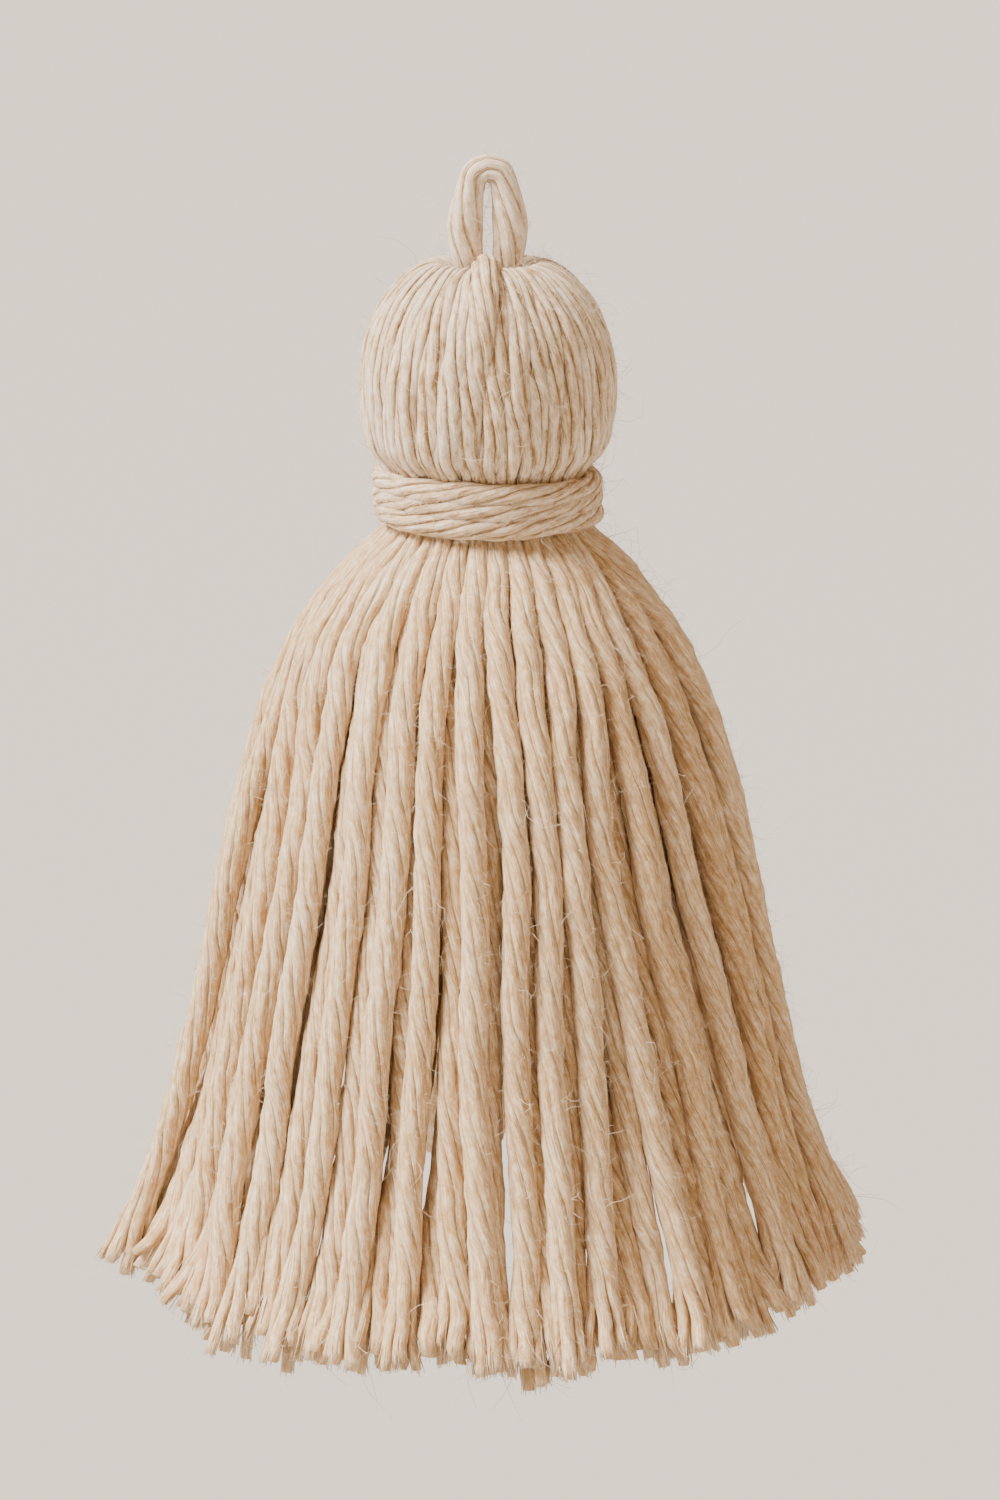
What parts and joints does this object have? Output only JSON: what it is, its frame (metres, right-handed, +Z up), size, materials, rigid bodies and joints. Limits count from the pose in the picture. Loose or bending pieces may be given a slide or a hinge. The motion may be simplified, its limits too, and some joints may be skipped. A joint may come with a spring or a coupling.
{
  "type": "yarn tassel",
  "caption": "Cotton yarn tassel: a ribbed ball head on a hanging loop, a wrapped neck binding and a flared skirt of loose twisted strands with frayed cut ends.",
  "frame": {"origin": "the inside top of the hanging loop, where it bears on what the tassel hangs from", "axes": "+Z up along the tassel's length, +X to the right in the plane of the loop, the front faces -Y"},
  "size_m": [0.0763, 0.076, 0.1154],
  "materials": {
    "skirt_yarn": "undyed soft cotton string, S-twisted, matt with a fine fuzz and brushed-out cut ends",
    "binding_yarn": "undyed soft cotton string wound tight, matt",
    "loop_yarn": "undyed soft cotton string, matt with a fine fuzz"
  },
  "bodies": {
    "root": {"yarn_bundle": "skirt_yarn", "neck_binding": "binding_yarn", "hanging_loop": "loop_yarn"}
  },
  "joints": []
}
